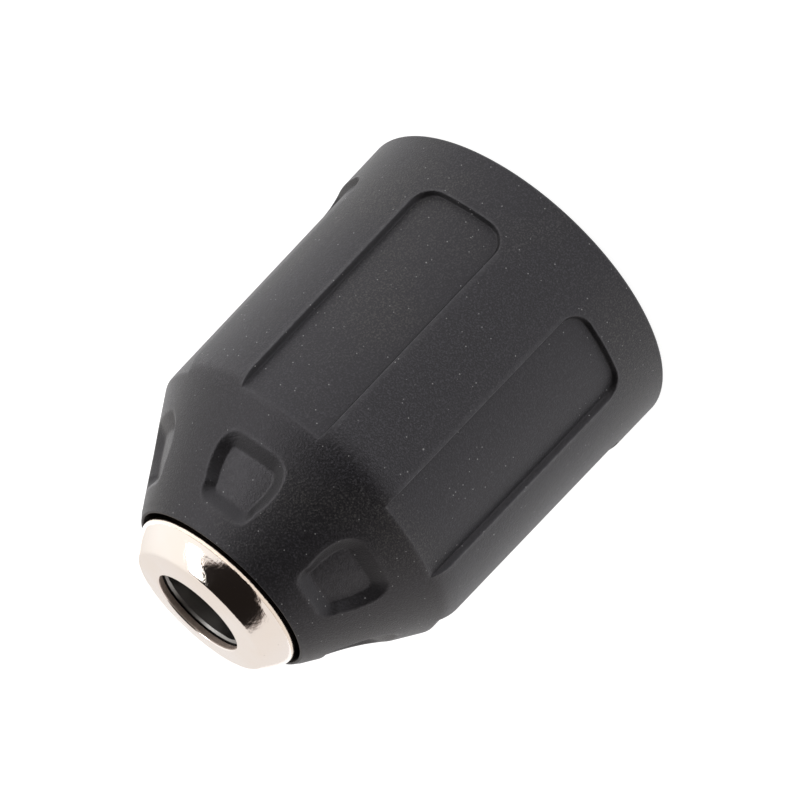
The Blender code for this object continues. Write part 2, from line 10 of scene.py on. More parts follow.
import bmesh
import bpy
import numpy as np
from mathutils import Matrix, Vector


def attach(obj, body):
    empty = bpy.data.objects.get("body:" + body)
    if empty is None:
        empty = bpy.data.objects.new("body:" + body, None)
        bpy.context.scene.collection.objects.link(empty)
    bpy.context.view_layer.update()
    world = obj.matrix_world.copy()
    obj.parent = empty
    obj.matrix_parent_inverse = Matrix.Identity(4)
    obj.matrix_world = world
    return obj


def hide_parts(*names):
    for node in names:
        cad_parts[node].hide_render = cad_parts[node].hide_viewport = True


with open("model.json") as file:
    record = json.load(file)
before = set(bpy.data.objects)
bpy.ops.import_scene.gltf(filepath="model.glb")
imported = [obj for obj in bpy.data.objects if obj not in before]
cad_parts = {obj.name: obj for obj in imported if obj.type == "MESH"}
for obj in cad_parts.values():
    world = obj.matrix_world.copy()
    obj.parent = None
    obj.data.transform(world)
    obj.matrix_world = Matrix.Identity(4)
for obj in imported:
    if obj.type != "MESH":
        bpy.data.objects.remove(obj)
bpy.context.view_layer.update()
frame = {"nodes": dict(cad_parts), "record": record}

MM = 0.001

# ---- Camera: focal length in image widths, chuck pose in camera space ----
IMAGE_SIZE = 800
FOCAL_PIXELS = 2610.28
REAR_RIM_PIXEL = (512.03, 281.695)
REAR_RIM_DISTANCE = 291.72 * MM
REAR_RIM_Z = 0.6 * MM
NOSE_TILT = 0.379
NOSE_ROLL = 2.33
RECESS_TURN = radians(55.15)
SENSOR_WIDTH = 36.0

# ---- Sleeve ----
SLEEVE_REAR_Z = 0.4 * MM
SLEEVE_REAR_R = 21.0 * MM
REAR_ROUND = 0.4 * MM
SHOULDER_Z = 35.75 * MM
SHOULDER_R = 19.92 * MM
SHOULDER_SOFT = 1.3 * MM
MOUTH_Z = 49.6 * MM
MOUTH_R = 11.3 * MM
MOUTH_BORE_R = 10.9 * MM
MOUTH_LIP = 0.22 * MM
GRIP_COUNT = 6
RECESS_REAR_Z = 6.75 * MM
RECESS_HALF_WIDTH = radians(16.2) * SLEEVE_REAR_R
RECESS_CORNER = 2.6 * MM
RECESS_WALL = 0.24 * MM
RECESS_DEPTH = 0.7 * MM
WALL_EASE = 0.06 * MM
RECESS_EASE = 0.04 * MM
RUB_AND_HIGHLIGHT_WIDTH = 0.16 * MM
POCKET_DEPTH = 0.95 * MM
POCKET_EASE = 0.16
SLEEVE_BORE_R = 17.5 * MM
SLEEVE_BORE_FRONT_Z = 36.2 * MM
COVER_SEAT_R = 18.6 * MM
COVER_SEAT_Z = 4.2 * MM
SMALL_CHAMFER = 0.1 * MM

# ---- Nose ring: its outside from the lip to the bore as arc length, lean at its end, steps ----
NOSE_REAR_Z = 45.2 * MM
NOSE_SEAT_R = 8.45 * MM
NOSE_SEAT_Z = 52.4 * MM
NOSE_SKIRT_R = 10.1 * MM
NOSE_LIP_R = 10.45 * MM
NOSE_LIP_REAR_Z = 49.74 * MM
NOSE_LIP_Z = 50.0 * MM
NOSE_BORE_R = 5.62 * MM
NOSE_ARCS = (
    (0.33 * MM, 14, 4),
    (0.57 * MM, 30, 6),
    (2.477 * MM, 45, 10),
    (0.5 * MM, 84, 8),
    (2.56 * MM, 84, 4),
    (0.45 * MM, 183, 12),
)

# ---- Body: hub at the rear, flange behind the bearing, boss for the nose ring ----
HUB_R = 8.5 * MM
CLIP_GROOVE_R = 8.0 * MM
FLANGE_R = 16.6 * MM
RACE_SEAT_R = 12.6 * MM
FRONT_FLANGE_R = 13.5 * MM
NECK_R = 9.6 * MM
BOSS_R = 8.2 * MM
BODY_FRONT_Z = 52.2 * MM
TOOL_BORE_R = 5.25 * MM
TOOL_BORE_REAR_Z = 24.0 * MM
SCREW_HOLE_R = 3.1 * MM
BORE_CHAMFER = 0.27 * MM
SPINDLE_MINOR_R = 4.35 * MM
SPINDLE_MAJOR_R = 4.75 * MM
SPINDLE_DEPTH = 16.0 * MM
SPINDLE_PITCH = 25.4 / 24 * MM

# ---- Jaws ----
JAW_COUNT = 3
JAW_TURN = radians(30)
JAW_ANGLE = radians(16)
JAW_R = 3.1 * MM
JAW_CLEARANCE = 0.15 * MM
PASSAGE_Z = 47.9 * MM
JAW_LINE_Z = 51.8 * MM
JAW_LINE_R = 1.975 * MM
JAW_TIP_Z = 39.9 * MM
JAW_LENGTH = 27.3 * MM
JAW_GRIP_OPEN_R = 5.15 * MM
TOOTH_PITCH = 1.6 * MM
TOOTH_DEPTH = 0.8 * MM
TOOTH_ROOT_HALF = 0.24 * MM
NUT_REAR_Z = 27.7 * MM

# ---- Studio: directions as azimuth and elevation in degrees ----
DARK_SIDES = ((12.0, 66.0, 40.0), (24.0, 26.0, 32.0))
DARK_EDGE = 4.0
DARK_LEVEL = 0.013
DARK_COLOR = (1.0, 0.80, 0.72)
SKY_LEVEL = 0.87
SKY_COLOR = (1.0, 0.985, 0.965)
LIGHT_SIDE = (125.0, 15.0)
LIGHT_LIFT = 1.25


# ======== Node materials ========


class Shader:
    """Adds nodes to one material and links them by position."""

    def __init__(self, name):
        self.material = bpy.data.materials.new(name)
        self.material.use_nodes = True
        self.tree = self.material.node_tree
        self.surface = self.tree.nodes["Principled BSDF"]
        self.place = self.add("ShaderNodeTexCoord").outputs["Object"]

    def add(self, kind, **settings):
        made = self.tree.nodes.new(kind)
        for key, value in settings.items():
            setattr(made, key, value)
        return made

    def feed(self, socket, value):
        """Links an output to the socket, or sets a plain value on it."""
        if isinstance(value, bpy.types.NodeSocket):
            self.tree.links.new(value, socket)
        else:
            socket.default_value = value

    def set(self, **values):
        for key, value in values.items():
            self.feed(self.surface.inputs[key.replace("_", " ")], value)

    def math(self, operation, first, second=0.0, third=None):
        made = self.add("ShaderNodeMath", operation=operation)
        self.feed(made.inputs[0], first)
        self.feed(made.inputs[1], second)
        if third is not None:
            self.feed(made.inputs[2], third)
        return made.outputs[0]

    def noise(self, scale, detail=2.0, roughness=0.5, where=None):
        made = self.add("ShaderNodeTexNoise")
        self.feed(made.inputs["Vector"], self.place if where is None else where)
        self.feed(made.inputs["Scale"], scale)
        self.feed(made.inputs["Detail"], detail)
        self.feed(made.inputs["Roughness"], roughness)
        return made.outputs["Fac"]

    def ramp(self, value, low, high, start=0.0, end=1.0):
        """Maps low..high of a value to start..end and holds it there."""
        made = self.add("ShaderNodeMapRange")
        self.feed(made.inputs["Value"], value)
        for name, number in zip(("From Min", "From Max", "To Min", "To Max"), (low, high, start, end)):
            self.feed(made.inputs[name], number)
        return made.outputs["Result"]

    def blend(self, share, first, second):
        """A colour between two colours, each an output or three numbers."""
        made = self.add("ShaderNodeMix", data_type="RGBA")
        self.feed(made.inputs["Factor"], share)
        for name, color in (("A", first), ("B", second)):
            socket = [item for item in made.inputs if item.name == name and item.type == "RGBA"][0]
            self.feed(socket, color if isinstance(color, bpy.types.NodeSocket) else (*color, 1.0))
        return [item for item in made.outputs if item.type == "RGBA"][0]

    def specks(self, scale, size, share):
        """A mask of sparse small dots, one in some cells of a grid of that scale."""
        cells = self.add("ShaderNodeTexVoronoi")
        self.feed(cells.inputs["Vector"], self.place)
        self.feed(cells.inputs["Scale"], scale)
        chance = self.add("ShaderNodeSeparateColor")
        self.tree.links.new(cells.outputs["Color"], chance.inputs[0])
        near = self.ramp(cells.outputs["Distance"], size * 0.5, size, 1.0, 0.0)
        picked = self.math("LESS_THAN", chance.outputs[0], share)
        return self.math("MULTIPLY", near, picked)

    def turned(self):
        """Coordinates that only change with radius and height, for turning marks."""
        parts = self.add("ShaderNodeSeparateXYZ")
        self.tree.links.new(self.place, parts.inputs[0])
        squares = self.math("MULTIPLY", parts.outputs[0], parts.outputs[0])
        total = self.math("MULTIPLY_ADD", parts.outputs[1], parts.outputs[1], squares)
        radius = self.math("SQRT", total)
        joined = self.add("ShaderNodeCombineXYZ")
        self.tree.links.new(radius, joined.inputs[0])
        self.tree.links.new(parts.outputs[2], joined.inputs[2])
        return joined.outputs[0]

    def bump(self, height, depth, strength=1.0, below=None):
        made = self.add("ShaderNodeBump")
        self.feed(made.inputs["Strength"], strength)
        self.feed(made.inputs["Distance"], depth)
        self.feed(made.inputs["Height"], height)
        if below is not None:
            self.feed(made.inputs["Normal"], below)
        return made.outputs["Normal"]

    def mask(self, name):
        """A number painted on the mesh's points."""
        return self.add("ShaderNodeAttribute", attribute_name=name).outputs["Fac"]


def sleeve_plastic():
    """Fine-grained black moulding: grain, faint mottling, dust, lighter edges that are partly rubbed wear
    and partly painted highlight, and painted shade on the walls.
    """
    made = Shader("sleeve_plastic")
    grain = made.noise(5200, 3.0, 0.6)
    coarse = made.noise(1500, 2.0)
    cloud = made.noise(70, 3.0)
    tone = made.blend(made.ramp(cloud, 0.35, 0.65), (0.0008, 0.0008, 0.0011), (0.0026, 0.0025, 0.0032))
    dusty = made.blend(made.ramp(cloud, 0.50, 0.66), (0.034, 0.033, 0.039), (0.062, 0.060, 0.054))
    grainy = made.blend(made.ramp(grain, 0.48, 0.70), tone, dusty)
    # lighter edges: partly rubbed wear, partly painted highlight on the rims, the shoulder and the pocket
    # floors
    rubbed_and_highlight = made.math("MULTIPLY", made.mask("edge"), made.ramp(coarse, 0.3, 0.7, 0.35, 1.0))
    worn = made.blend(made.math("MULTIPLY", rubbed_and_highlight, 0.8), grainy, (0.052, 0.051, 0.055))
    dust = made.math("MAXIMUM", made.specks(1500, 0.13, 0.28), made.specks(480, 0.06, 0.12))
    # painted shade: the wall mask darkens the recess and pocket walls to near black, and the recess floors
    # and the rest of the cone a little
    sides = made.blend(made.math("MULTIPLY", made.mask("wall"), 0.85), worn, (0.0008, 0.0008, 0.0010))
    made.set(Base_Color=made.blend(made.math("MULTIPLY", dust, 0.7), sides, (0.36, 0.36, 0.36)))
    base = made.math("ADD", made.ramp(grain, 0.2, 0.8, 0.34, 0.48), made.math("MULTIPLY", cloud, 0.08))
    made.set(Roughness=made.math("SUBTRACT", base, made.math("MULTIPLY", rubbed_and_highlight, 0.10)))
    made.set(Normal=made.bump(grain, 0.06 * MM, 1.0, made.bump(coarse, 0.03 * MM, 0.5)))
    made.set(Specular_Tint=(0.96, 0.93, 1.0, 1.0), Specular_IOR_Level=0.56)
    return made.material


def metal(name, light, dark, roughness, marks=0.5, stain=0.35, scratch=0.4):
    """Machined metal: turning marks, stains in cloudy patches and fine scratches."""
    made = Shader(name)
    rings = made.noise(9000, 2.0, 0.7, made.turned())
    broad = made.noise(1400, 2.0, 0.5, made.turned())
    cloud = made.noise(160, 4.0, 0.6)
    fine = made.noise(6500, 2.0)
    dirty = made.math("MULTIPLY", made.ramp(cloud, 0.45, 0.75), stain)
    tone = made.blend(made.ramp(broad, 0.3, 0.7), light, [0.88 * value for value in light])
    made.set(Base_Color=made.blend(dirty, tone, dark), Metallic=1.0)
    spread = made.math("MULTIPLY", made.math("ADD", rings, fine), 0.10 * marks + 0.03)
    base = made.math("ADD", spread, roughness - 0.05 * marks)
    made.set(Roughness=made.math("ADD", base, made.math("MULTIPLY", dirty, 0.3)))
    under = made.bump(broad, 0.012 * MM, marks)
    made.set(Normal=made.bump(rings, 0.006 * MM, marks, made.bump(fine, 0.004 * MM, scratch, under)))
    return made.material


def nose_nickel():
    """Polished warm nickel plate with a fine orange peel, pinholes, a dull bore and a painted shade band on
    the lip.
    """
    made = Shader("nose_nickel")
    rings = made.noise(5200, 2.0, 0.6, made.turned())
    peel = made.noise(3200, 3.0, 0.6)
    ripple = made.noise(420, 2.0, 0.5)
    haze = made.noise(120, 3.0, 0.6)
    pits = made.specks(1300, 0.11, 0.10)
    bore = made.mask("bore")
    warm = made.blend(made.ramp(haze, 0.35, 0.65), (0.94, 0.86, 0.79), (0.96, 0.90, 0.86))
    plate = made.blend(made.math("MULTIPLY", pits, 0.5), warm, (0.30, 0.24, 0.19))
    stain = made.blend(made.ramp(peel, 0.35, 0.65), (0.50, 0.40, 0.34), (0.64, 0.52, 0.45))
    # painted shade: the lip band is darkened toward tan
    lip_painted_shade = made.blend(made.math("MULTIPLY", made.mask("lip"), 0.7), plate, (0.62, 0.50, 0.39))
    made.set(Base_Color=made.blend(bore, lip_painted_shade, stain))
    made.set(Metallic=made.math("MULTIPLY_ADD", bore, -0.75, 1.0))
    worn = made.math("MULTIPLY", made.math("MAXIMUM", pits, bore), 0.28)
    made.set(Roughness=made.math("ADD", made.ramp(haze, 0.3, 0.7, 0.07, 0.13), worn))
    under = made.bump(ripple, 0.08 * MM, 0.7)
    made.set(Normal=made.bump(rings, 0.004 * MM, 0.3, made.bump(peel, 0.016 * MM, 1.0, under)))
    return made.material


def floor_paint_and_painted_light():
    """Pale paint with a painted glow that is brighter toward the light side, and a painted shadow where the
    glow fades out under the chuck.
    """
    made = Shader("floor_paint_and_painted_light")
    mottled = made.ramp(made.noise(40, 3.0), 0.3, 0.7, 0.0, 0.5)
    made.set(Base_Color=made.blend(mottled, (0.30, 0.30, 0.30), (0.33, 0.33, 0.33)), Roughness=0.9)
    parts = made.add("ShaderNodeSeparateXYZ")
    made.tree.links.new(made.place, parts.inputs[0])
    azimuth = radians(LIGHT_SIDE[0])
    across = made.math("MULTIPLY", parts.outputs[0], cos(azimuth))
    toward = made.math("MULTIPLY_ADD", parts.outputs[1], sin(azimuth), across)
    squares = made.math("MULTIPLY", parts.outputs[0], parts.outputs[0])
    reach = made.math("SQRT", made.math("MULTIPLY_ADD", parts.outputs[1], parts.outputs[1], squares))
    # painted contact shadow: the glow fades to nothing within 9 to 20 mm of the axis
    painted_shadow_ramp = made.ramp(reach, 9 * MM, 20 * MM)
    # painted pool of light: the floor glows from 0.95 up to 1.6 toward the light side
    painted_light_glow = made.math("MULTIPLY", made.ramp(toward, 0.0, 0.25, 0.95, 1.6), painted_shadow_ramp)
    made.set(Emission_Color=(1.0, 1.0, 1.0, 1.0), Emission_Strength=painted_light_glow)
    made.set(Specular_IOR_Level=0.0)
    return made.material


# ======== Mesh tools ========


def show(name, mesh, material, body, nodes, crease):
    """Makes the object, shades it and hooks it to the frame."""
    mesh.materials.append(material)
    mesh.shade_smooth()
    mesh.set_sharp_from_angle(angle=crease)
    made = bpy.data.objects.new(name, mesh)
    bpy.context.scene.collection.objects.link(made)
    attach(made, body)
    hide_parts(*nodes)


def mesh_of(bm, name):
    """A mesh made from the bmesh, which is used up."""
    bmesh.ops.recalc_face_normals(bm, faces=bm.faces)
    mesh = bpy.data.meshes.new(name)
    bm.to_mesh(mesh)
    bm.free()
    return mesh


def paint(mesh, name, values):
    """Stores a number for every point, which a material reads as a mask."""
    layer = mesh.attributes.new(name, "FLOAT", "POINT")
    layer.data.foreach_set("value", values.astype(np.float32))


def eased(profile, radius=0.12 * MM, steps=3):
    """Rounds each corner of a closed outline, as far as its edges allow."""
    result = []
    count = len(profile)
    for i in range(count):
        before, here, after = (Vector(profile[(i + k) % count]) for k in (-1, 0, 1))
        back, ahead = before - here, after - here
        reach = min(radius, back.length * 0.4, ahead.length * 0.4)
        start = here + back.normalized() * reach
        end = here + ahead.normalized() * reach
        if back.angle(ahead) > radians(172):
            result.append(tuple(here))
            continue
        for k in range(steps + 1):
            t = k / steps
            point = start * (1 - t) ** 2 + here * 2 * t * (1 - t) + end * t**2
            result.append(tuple(point))
    return result


def lathe(profile, segments):
    """Spins a closed (radius, height) outline about Z."""
    bm = bmesh.new()
    columns = []
    for step in range(segments):
        turn = 2 * pi * step / segments
        columns.append([bm.verts.new((r * cos(turn), r * sin(turn), z)) for r, z in profile])
    size = len(profile)
    for left, right in zip(columns, columns[1:] + columns[:1]):
        for i in range(size):
            j = (i + 1) % size
            bm.faces.new((left[i], left[j], right[j], right[i]))
    return bm


def rod(radius, low, high, sides):
    """A round bar along Z."""
    bm = bmesh.new()
    bmesh.ops.create_cone(
        bm,
        cap_ends=True,
        segments=sides,
        radius1=radius,
        radius2=radius,
        depth=high - low,
        matrix=Matrix.Translation((0.0, 0.0, (high + low) / 2)),
    )
    return bm


def carve(mesh, cutters):
    """The mesh less each cutter mesh, worked out once."""
    body = bpy.data.objects.new("carving", mesh)
    bpy.context.scene.collection.objects.link(body)
    tools = []
    for cutter in cutters:
        tool = bpy.data.objects.new("carving_tool", cutter)
        bpy.context.scene.collection.objects.link(tool)
        tools.append(tool)
        step = body.modifiers.new("cut", "BOOLEAN")
        step.operation = "DIFFERENCE"
        step.solver = "EXACT"
        step.object = tool
    graph = bpy.context.evaluated_depsgraph_get()
    result = bpy.data.meshes.new_from_object(body.evaluated_get(graph), depsgraph=graph)
    for item in [body, *tools]:
        used = item.data
        bpy.data.objects.remove(item)
        bpy.data.meshes.remove(used)
    return result


def welded(mesh):
    """Joins the nearly equal corners that cutting leaves where edges cross, so no sliver stays."""
    bm = bmesh.new()
    bm.from_mesh(mesh)
    bmesh.ops.remove_doubles(bm, verts=bm.verts[:], dist=2e-6)
    bm.to_mesh(mesh)
    bm.free()
    return mesh


# ======== Outer sleeve ========


def soft_step(x, ease):
    """x where positive, 0 where negative, with a parabola of width 2 * ease between."""
    return np.where(x <= 0, 0.0, np.where(x < 2 * ease, x * x / (4 * ease), x - ease))


def bell(x, width):
    """1 where x is zero, fading on both sides over about the width."""
    return np.exp(-((x / width) ** 2))


def eased_ramp(x, ease):
    """Goes from 0 to 1 over x = 0..1 with rounded shoulders."""
    rise = soft_step(x + ease, ease) - soft_step(x - 1 + ease, ease)
    return np.clip(rise, 0.0, 1.0)


def body_taper(z):
    """The radius of the sleeve's tapered part, run on past the shoulder."""
    slope = (SLEEVE_REAR_R - SHOULDER_R) / (SHOULDER_Z - SLEEVE_REAR_Z)
    return SLEEVE_REAR_R - (z - SLEEVE_REAR_Z) * slope


def outline_distance(points, outline):
    """Signed distance from points to a closed outline, positive inside."""
    best = np.full(len(points), 1e9)
    inside = np.zeros(len(points), bool)
    for a, b in zip(outline, np.roll(outline, -1, axis=0)):
        edge = b - a
        along = np.clip((points - a) @ edge / (edge @ edge), 0.0, 1.0)
        best = np.minimum(best, np.linalg.norm(points - a - along[:, None] * edge, axis=1))
        crosses = (a[1] > points[:, 1]) != (b[1] > points[:, 1])
        if b[1] != a[1]:
            at = a[0] + (points[:, 1] - a[1]) / (b[1] - a[1]) * edge[0]
            inside ^= crosses & (points[:, 0] < at)
    return np.where(inside, best, -best)


def pocket_outline(low, high, rear_half, front_half, rear_corner, front_corner, bow):
    """A rounded four-sided outline in (width, height) whose sides bow outwards."""
    corners = (
        ((rear_half - rear_corner, low + rear_corner), rear_corner, -pi / 2),
        ((front_half - front_corner, high - front_corner), front_corner, 0.0),
    )
    half = []
    for center, radius, start in corners:
        for i in range(9):
            turn = start + pi / 2 * i / 8
            half.append((center[0] + radius * cos(turn), center[1] + radius * sin(turn)))
    side_start, side_end = half[8], half[9]
    side = []
    for i in range(1, 8):
        t = i / 8
        side.append(
            (
                side_start[0] + (side_end[0] - side_start[0]) * t + bow * 4 * t * (1 - t),
                side_start[1] + (side_end[1] - side_start[1]) * t,
            )
        )
    right = half[:9] + side + half[9:]
    left = [(-x, y) for x, y in reversed(right)]
    return np.array(right + left)


POCKET_RIM = pocket_outline(40.25 * MM, 47.15 * MM, 4.35 * MM, 3.4 * MM, 1.9 * MM, 1.7 * MM, 0.25 * MM)
POCKET_FLOOR = pocket_outline(41.85 * MM, 46.05 * MM, 3.15 * MM, 2.55 * MM, 0.75 * MM, 0.75 * MM, 0.15 * MM)


def spans(*stretches):
    """Joined runs of numbers: (start, end, steps) each, without repeated ends."""
    runs = [np.linspace(start, end, steps, endpoint=False) for start, end, steps in stretches]
    return np.concatenate(runs)


def sleeve_outside():
    """(radius, height, depth direction) rows of the plain outside, rear to mouth."""
    taper = atan2(SLEEVE_REAR_R - SHOULDER_R, SHOULDER_Z - SLEEVE_REAR_Z)
    cone = atan2(SHOULDER_R - MOUTH_R, MOUTH_Z - SHOULDER_Z)
    rows = []
    center = (SLEEVE_REAR_R - REAR_ROUND, SLEEVE_REAR_Z + REAR_ROUND)
    for turn in np.linspace(-pi / 2, taper, 11)[:-1]:
        rows.append((center[0] + REAR_ROUND * cos(turn), center[1] + REAR_ROUND * sin(turn)))
    heights = spans(
        (1.0 * MM, 6.2 * MM, 5),
        (6.2 * MM, 6.7 * MM, 2),
        (6.7 * MM, 7.2 * MM, 12),
        (7.2 * MM, 9.7 * MM, 24),
        (9.7 * MM, 34.35 * MM, 14),
    )
    rows += [(body_taper(z), z) for z in heights]
    start = (SHOULDER_R + SHOULDER_SOFT * sin(taper), SHOULDER_Z - SHOULDER_SOFT * cos(taper))
    end = (SHOULDER_R - SHOULDER_SOFT * sin(cone), SHOULDER_Z + SHOULDER_SOFT * cos(cone))
    for t in np.linspace(0, 1, 11):
        r = start[0] * (1 - t) ** 2 + SHOULDER_R * 2 * t * (1 - t) + end[0] * t**2
        z = start[1] * (1 - t) ** 2 + SHOULDER_Z * 2 * t * (1 - t) + end[1] * t**2
        rows.append((r, z))
    first = end[1] + 0.06 * MM
    heights = spans(
        (first, 38.6 * MM, 10),
        (38.6 * MM, 39.9 * MM, 5),
        (39.9 * MM, 47.5 * MM, 54),
        (47.5 * MM, 49.3 * MM, 5),
    )
    slope = (SHOULDER_R - MOUTH_R) / (MOUTH_Z - SHOULDER_Z)
    rows += [(SHOULDER_R - (z - SHOULDER_Z) * slope, z) for z in heights]
    return np.array(rows), cone


def sleeve_rest():
    """The mouth, the bore and the rear rim, back to the first outside row."""
    mouth = []
    for turn in np.linspace(0.3, pi / 2, 5):
        mouth.append((MOUTH_R - MOUTH_LIP * (1 - cos(turn)), MOUTH_Z - MOUTH_LIP + MOUTH_LIP * sin(turn)))
    corners = [
        (MOUTH_BORE_R + 0.08 * MM, MOUTH_Z),
        (MOUTH_BORE_R, MOUTH_Z - 0.08 * MM),
        (MOUTH_BORE_R + 0.05 * MM, MOUTH_Z - 2.2 * MM),
        (SLEEVE_BORE_R - 0.6 * MM, SLEEVE_BORE_FRONT_Z + 1.2 * MM),
        (SLEEVE_BORE_R, SLEEVE_BORE_FRONT_Z),
        (SLEEVE_BORE_R, 20.0 * MM),
        (SLEEVE_BORE_R, COVER_SEAT_Z + SMALL_CHAMFER),
        (SLEEVE_BORE_R + SMALL_CHAMFER, COVER_SEAT_Z),
        (COVER_SEAT_R - SMALL_CHAMFER, COVER_SEAT_Z),
        (COVER_SEAT_R, COVER_SEAT_Z - SMALL_CHAMFER),
        (COVER_SEAT_R, SLEEVE_REAR_Z + 0.4 * MM),
        (COVER_SEAT_R + 0.15 * MM, SLEEVE_REAR_Z),
    ]
    return np.array(mouth + corners)


def sleeve_columns():
    """Azimuths, close together where recess and pocket walls run."""
    half = spans((8.2, 15.3, 20), (15.3, 16.5, 11), (16.5, 30.0, 9))
    sector = np.concatenate([-half[::-1], spans((-8.2, 8.2, 8))[1:], half])
    return np.radians(np.concatenate([sector + 60 * i for i in range(GRIP_COUNT)]))


def sink_recesses(r, z, turn):
    """The radius with the grip recesses sunk in, how much each point gets the lighter edge colour (rubbed
    wear and painted highlight) and how much painted wall shade.
    """
    width = np.abs(turn) * SLEEVE_REAR_R
    over = np.stack([width - RECESS_HALF_WIDTH + RECESS_CORNER, RECESS_REAR_Z + RECESS_CORNER - z])
    beyond = np.linalg.norm(np.maximum(over, 0.0), axis=0)
    inside = RECESS_CORNER - beyond - np.minimum(over.max(axis=0), 0.0)
    depth = eased_ramp(inside / RECESS_WALL, WALL_EASE / RECESS_WALL)
    lowered = r - body_taper(z) + (RECESS_DEPTH + RECESS_EASE) * depth
    sunk = np.where(depth > 0, soft_step(lowered, RECESS_EASE), 0.0)

    # lighter bands for rubbed wear and painted highlight along the recess sides, the shoulder and the
    # recess front
    sides = bell(inside, RUB_AND_HIGHLIGHT_WIDTH) * (z < SHOULDER_Z + 1.1 * MM)
    shoulder = bell(z - SHOULDER_Z, 0.7 * MM) * (depth < 0.5)
    front = bell(z - SHOULDER_Z - 1.15 * MM, 0.3 * MM) * (depth >= 0.5)
    edge = np.maximum(sides, 0.5 * np.maximum(shoulder, front))
    # painted shade mask: the recess walls fully, the recess floors at 0.15
    painted_shade_wall = (inside > 0) & (inside < RECESS_WALL + 0.1 * MM) & (sunk > 0.05 * MM)
    return r - sunk, edge, np.maximum(painted_shade_wall, 0.15 * (depth >= 1))


def sink_pockets(r, z, turn, cone):
    """Radius and height with the cone pockets sunk in square to the cone, then the lighter edge mask
    (rubbed wear and painted highlight) and the painted wall shade mask.
    """
    flat = np.stack([turn * r, z], axis=1)
    to_rim = outline_distance(flat, POCKET_RIM)
    to_floor = -outline_distance(flat, POCKET_FLOOR)
    share = np.where(to_rim <= 0, to_rim / MM, np.where(to_floor <= 0, 1 - to_floor / MM, 0.0))
    wall = (to_rim > 0) & (to_floor > 0)
    share[wall] = to_rim[wall] / (to_rim[wall] + to_floor[wall])
    sink = POCKET_DEPTH * eased_ramp(share, POCKET_EASE)
    # rims and pocket floors lighter: rubbed wear and painted highlight
    edge = np.maximum(0.7 * bell(to_rim, 0.22 * MM), 0.6 * (share >= 1))
    # painted shade mask: the pocket walls fully, the rest of the cone at 0.3
    painted_shade_steep = np.clip(np.minimum(share, 1 - share) / 0.08, 0.3, 1.0)
    return r - sink * cos(cone), z - sink * sin(cone), edge, painted_shade_steep


def sleeve_mesh():
    """The whole sleeve as a closed grid, rows up the outside and back down the bore."""
    outside, cone = sleeve_outside()
    rest = sleeve_rest()
    azimuths = sleeve_columns()
    local = (azimuths + pi / GRIP_COUNT) % (2 * pi / GRIP_COUNT) - pi / GRIP_COUNT
    r = np.repeat(outside[:, :1], len(azimuths), axis=1)
    z = np.repeat(outside[:, 1:], len(azimuths), axis=1)
    turn = np.tile(local, (len(outside), 1))

    r, edge, wall = sink_recesses(r, z, turn)
    on_cone = z > SHOULDER_Z + 2 * MM
    sunk = sink_pockets(r[on_cone], z[on_cone], turn[on_cone], cone)
    r[on_cone], z[on_cone], pocket_edge, wall[on_cone] = sunk
    edge[on_cone] = np.maximum(edge[on_cone], pocket_edge)

    r = np.vstack([r, np.repeat(rest[:, :1], len(azimuths), axis=1)])
    z = np.vstack([z, np.repeat(rest[:, 1:], len(azimuths), axis=1)])
    spots = np.stack([r * np.cos(azimuths), r * np.sin(azimuths), z], axis=2).reshape(-1, 3)
    rows, columns = r.shape
    index = np.arange(rows * columns).reshape(rows, columns)
    right = np.roll(index, -1, axis=1)
    above = np.roll(index, -1, axis=0)
    faces = np.stack([index, right, np.roll(right, -1, axis=0), above], axis=2).reshape(-1, 4)
    mesh = bpy.data.meshes.new("sleeve_shell")
    mesh.from_pydata(spots.tolist(), [], faces.tolist())
    mesh.update()
    hidden = np.zeros((len(rest), len(azimuths)))
    # edge: lighter rims and pocket floors, partly rubbed wear and partly painted highlight
    paint(mesh, "edge", np.vstack([edge, hidden]).ravel())
    # wall: painted shade on the recess and pocket walls
    paint(mesh, "wall", np.vstack([wall, hidden]).ravel())
    return mesh


# ======== Nose, body and jaws ========


def jaw_line_radius(z):
    """How far a jaw's centre line is from the chuck's axis at a height."""
    return JAW_LINE_R + (JAW_LINE_Z - z) * tan(JAW_ANGLE)


def jaw_azimuth(index):
    return JAW_TURN + index * 2 * pi / JAW_COUNT


def jaw_frame(azimuth, z):
    """Local +Z runs up the jaw to its tip, local +X points outwards."""
    spin = Matrix.Rotation(azimuth, 4, "Z")
    place = Matrix.Translation((jaw_line_radius(z), 0.0, z))
    return spin @ place @ Matrix.Rotation(-JAW_ANGLE, 4, "Y")


def leaning_outline(start, arcs):
    """Points of an outline that sets off upright and leans inwards, arc by arc."""
    r, z = start
    lean = 0.0
    points = [start]
    for length, end, steps in arcs:
        bend = radians(end) - lean
        half = abs(bend) / steps / 2
        chord = length / steps * (sin(half) / half if half else 1.0)
        for i in range(steps):
            heading = lean + bend * (i + 0.5) / steps
            r -= chord * sin(heading)
            z += chord * cos(heading)
            points.append((r, z))
        lean += bend
    return points


